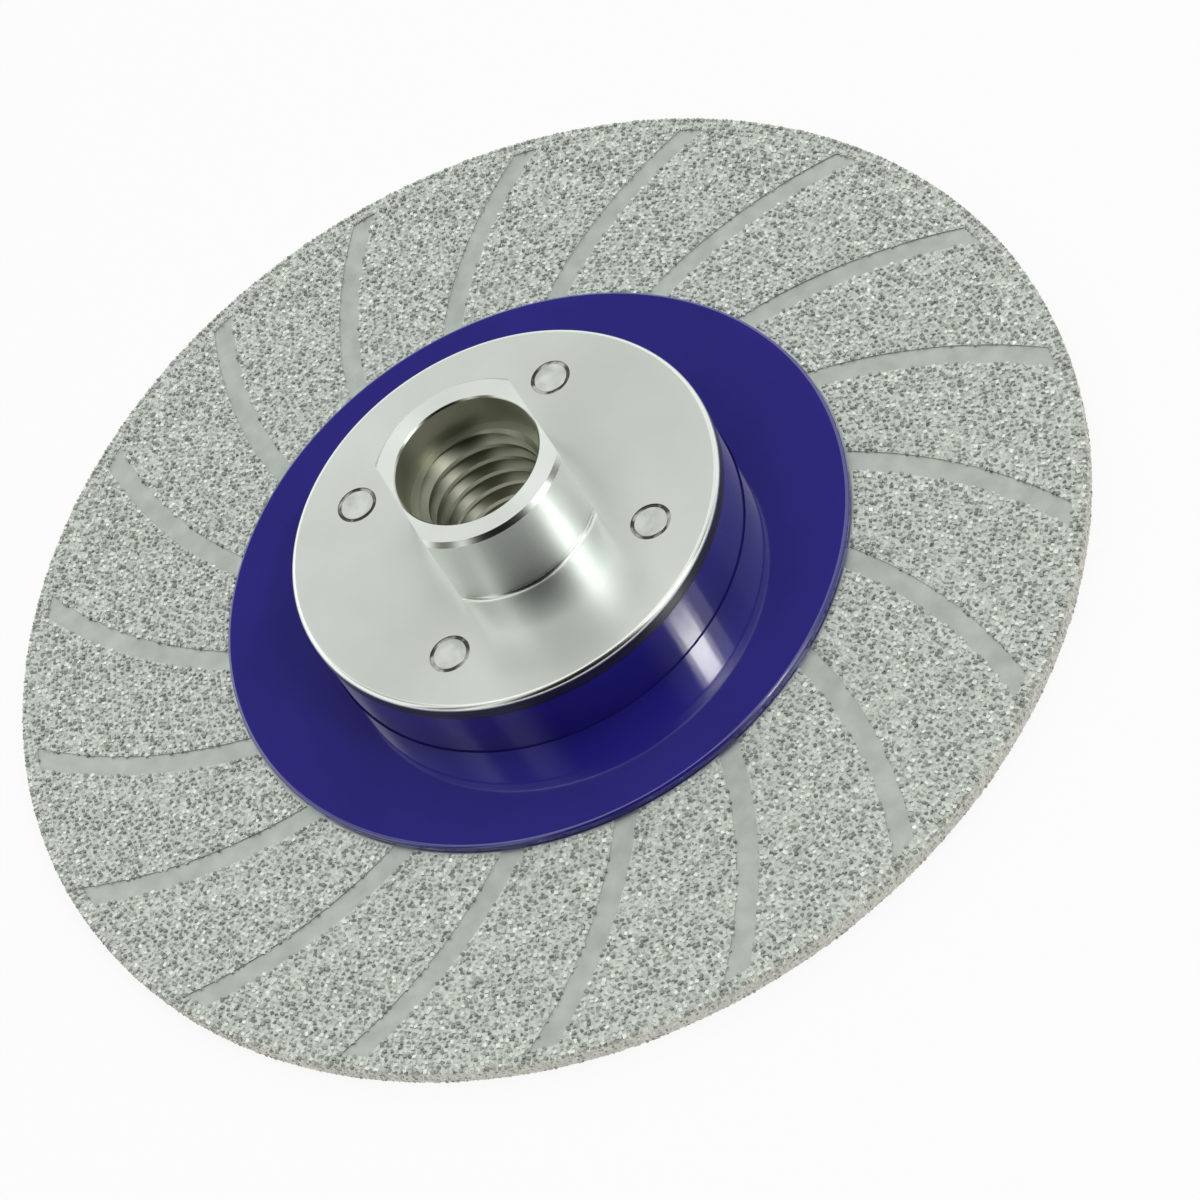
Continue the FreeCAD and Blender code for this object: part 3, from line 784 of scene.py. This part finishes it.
def make_rim_grains(material):
    """Rows of grains round the rim, which look outwards."""
    rng = random.Random(RIM_SEED)
    grain = new_grain()
    bm = bmesh.new()
    per_row = round(LANE_PITCH * DISC_RADIUS / (2 * RIM_GRAIN_RADIUS))
    low = BACK_FACE + RIM_GRAIN_RADIUS
    high = FRONT_FACE - RIM_GRAIN_RADIUS
    for row in range(RIM_ROWS):
        height = low + (high - low) * row / (RIM_ROWS - 1)
        for i in range(per_row):
            angle = LANE_PITCH * (i + 0.5 + rng.uniform(-GRAIN_JITTER, GRAIN_JITTER)) / per_row
            outward = Vector((math.cos(angle), math.sin(angle), 0))
            place = outward * DISC_RADIUS + Vector((0, 0, height))
            add_grain(bm, grain, rng, RIM_GRAIN_RADIUS, place, outward)
    repeat_sector(bm, LANES)
    bmesh.ops.recalc_face_normals(bm, faces=bm.faces)
    bpy.data.meshes.remove(grain)
    finish_piece("rim_grains", bm, [material], (), smooth=False)


def pale_floor():
    """Matt and pale for plain light, so that it keeps the shadow, and nearly white to look at."""
    material = bpy.data.materials.new("pale_floor")
    material.use_nodes = True
    tree = material.node_tree
    tree.nodes.clear()
    output = add(tree, "ShaderNodeOutputMaterial")
    matt = add(tree, "ShaderNodeBsdfDiffuse", Color=(FLOOR_GREY, FLOOR_GREY, FLOOR_GREY, 1))
    glow = add(tree, "ShaderNodeEmission", Color=(1, 1, 1, 1), Strength=1.0)
    path = add(tree, "ShaderNodeLightPath")
    seen = path.outputs["Is Camera Ray"]
    for ray in ("Is Glossy Ray", "Is Transmission Ray"):
        either = add(tree, "ShaderNodeMath", operation="MAXIMUM")
        tree.links.new(seen, either.inputs[0])
        tree.links.new(path.outputs[ray], either.inputs[1])
        seen = either.outputs[0]
    share = add(tree, "ShaderNodeMath", operation="MULTIPLY")
    share.inputs[1].default_value = FLOOR_GLOW_SHARE
    mix = add(tree, "ShaderNodeMixShader")
    tree.links.new(seen, share.inputs[0])
    tree.links.new(share.outputs[0], mix.inputs[0])
    tree.links.new(matt.outputs[0], mix.inputs[1])
    tree.links.new(glow.outputs[0], mix.inputs[2])
    tree.links.new(mix.outputs[0], output.inputs["Surface"])
    return material


def make_floor():
    bm = bmesh.new()
    bmesh.ops.create_grid(bm, x_segments=1, y_segments=1, size=FLOOR_HALF_SIZE)
    mesh = bpy.data.meshes.new("floor")
    bm.to_mesh(mesh)
    bm.free()
    mesh.materials.append(pale_floor())
    floor = bpy.data.objects.new("floor", mesh)
    bpy.context.scene.collection.objects.link(floor)


def direction(azimuth, elevation):
    """Way that an azimuth and an elevation in degrees point to."""
    a, e = math.radians(azimuth), math.radians(elevation)
    return Vector((math.cos(a) * math.cos(e), math.sin(a) * math.cos(e), math.sin(e)))


def patch_strength(tree, look, patch):
    """Strength of the sky that one patch gives in the direction of the look."""
    dot = add(tree, "ShaderNodeVectorMath", operation="DOT_PRODUCT")
    dot.inputs[1].default_value = direction(patch.azimuth, patch.elevation or 0)
    tree.links.new(look, dot.inputs[0])
    fade = add(tree, "ShaderNodeMapRange", interpolation_type="SMOOTHSTEP")
    fade.inputs["From Min"].default_value = math.cos(math.radians(patch.faded))
    fade.inputs["From Max"].default_value = math.cos(math.radians(patch.even))
    fade.inputs["To Min"].default_value = patch.outside
    fade.inputs["To Max"].default_value = patch.middle
    tree.links.new(dot.outputs["Value"], fade.inputs["Value"])
    return fade.outputs["Result"]


def make_world():
    """A pale tent with a brighter patch and darker ones, plain white where the camera sees it."""
    world = bpy.data.worlds.new("tent")
    bpy.context.scene.world = world
    world.use_nodes = True
    tree = world.node_tree
    links = tree.links
    background = tree.nodes["Background"]
    place = add(tree, "ShaderNodeTexCoord")
    level = add(tree, "ShaderNodeVectorMath", operation="MULTIPLY")
    level.inputs[1].default_value = (1, 1, 0)
    links.new(place.outputs["Generated"], level.inputs[0])
    column = add(tree, "ShaderNodeVectorMath", operation="NORMALIZE")
    links.new(level.outputs["Vector"], column.inputs[0])
    strengths = []
    for patch in SKY_PATCHES:
        look = column.outputs["Vector"] if patch.elevation is None else place.outputs["Generated"]
        strengths.append(patch_strength(tree, look, patch))
    total = strengths[0]
    for strength in strengths[1:]:
        product = add(tree, "ShaderNodeMath", operation="MULTIPLY")
        links.new(total, product.inputs[0])
        links.new(strength, product.inputs[1])
        total = product.outputs[0]
    tone = ramp(tree, total, SKY_TONE_RANGE, SKY_TONES)
    links.new(tone, background.inputs["Color"])
    links.new(total, background.inputs["Strength"])
    plain = add(tree, "ShaderNodeBackground", Color=(1, 1, 1, 1), Strength=1.0)
    path = add(tree, "ShaderNodeLightPath")
    mix = add(tree, "ShaderNodeMixShader")
    links.new(path.outputs["Is Camera Ray"], mix.inputs[0])
    links.new(background.outputs[0], mix.inputs[1])
    links.new(plain.outputs[0], mix.inputs[2])
    links.new(mix.outputs[0], tree.nodes["World Output"].inputs["Surface"])


def add_lamp(name, part, distance):
    """Flat lamp at that distance, facing the axis at the plate's height."""
    data = bpy.data.lights.new(name, "AREA")
    data.shape = "RECTANGLE"
    data.size = part.width
    data.size_y = part.height
    data.energy = part.radiance * math.pi * part.width * part.height
    lamp = bpy.data.objects.new(name, data)
    bpy.context.scene.collection.objects.link(lamp)
    target = Vector((0, 0, PLATE_TOP))
    lamp.location = target + direction(part.azimuth, part.elevation) * distance
    lamp.rotation_euler = (lamp.location - target).to_track_quat("Z", "Y").to_euler()


def make_camera():
    """Camera at the photograph's viewing angle, rolled as the photograph is."""
    back = Vector((0, -math.sin(CAMERA_TILT), math.cos(CAMERA_TILT)))
    forward = -back
    right = Vector((1, 0, 0))
    up = right.cross(forward)
    axes = Matrix((right, up, forward))
    roll = Matrix.Rotation(CAMERA_ROLL, 3, "Z")
    yaw = Matrix.Rotation(CAMERA_YAW, 3, "Y")
    pitch = Matrix.Rotation(-CAMERA_PITCH, 3, "X")
    axes = pitch @ yaw @ roll @ axes
    data = bpy.data.cameras.new("photo_camera")
    data.sensor_width = SENSOR_WIDTH
    data.lens = FOCAL_PX / PHOTO_WIDTH_PX * SENSOR_WIDTH
    data.clip_start = CLIP_NEAR
    data.clip_end = CLIP_FAR
    camera = bpy.data.objects.new("photo_camera", data)
    bpy.context.scene.collection.objects.link(camera)
    place = back * CAMERA_DISTANCE + Vector((0, 0, FRONT_FACE))
    turn = Matrix((axes[0], axes[1], -axes[2])).transposed().to_4x4()
    camera.matrix_world = Matrix.Translation(place) @ turn
    bpy.context.scene.camera = camera


def main():
    plate_steel = turned_steel("plate_steel", roughness=0.28, brushing=0.9)
    hub_steel = turned_steel("hub_steel", roughness=0.41, brushing=0.78)
    smooth_steel = turned_steel("smooth_turned_steel", roughness=0.22, brushing=0.3)
    rivet_steel = peened_steel()
    ring_shade = ring_painted_shade()
    satin = satin_steel()
    plastic = blue_plastic()
    nickel = nickel_bond()
    diamond = diamond_grain()

    nodes["disc_blank"].data.materials.clear()
    nodes["disc_blank"].data.materials.append(satin)

    make_plate(plate_steel, smooth_steel, side_steel_painted_shade())
    make_spigot(hub_steel)
    make_hub(hub_steel, smooth_steel)
    make_thread(hub_steel)
    make_spacer(plastic)
    for k, place in enumerate(rivet_places(), start=1):
        make_rivet(k, place, rivet_steel, ring_shade)
    make_bond(nickel)
    make_face_grains("front", FRONT_SEEDS, FRONT_FACE, 1, diamond)
    make_face_grains("back", BACK_SEEDS, BACK_FACE, -1, diamond)
    make_rim_grains(diamond)

    make_floor()
    make_world()
    for k, part in enumerate(LAMP_PARTS):
        add_lamp("strip_lamp_%d" % k, part, LAMP_DISTANCE + k * LAMP_LAYER)
    make_camera()
    view = bpy.context.scene.view_settings
    view.view_transform = "Standard"


main()
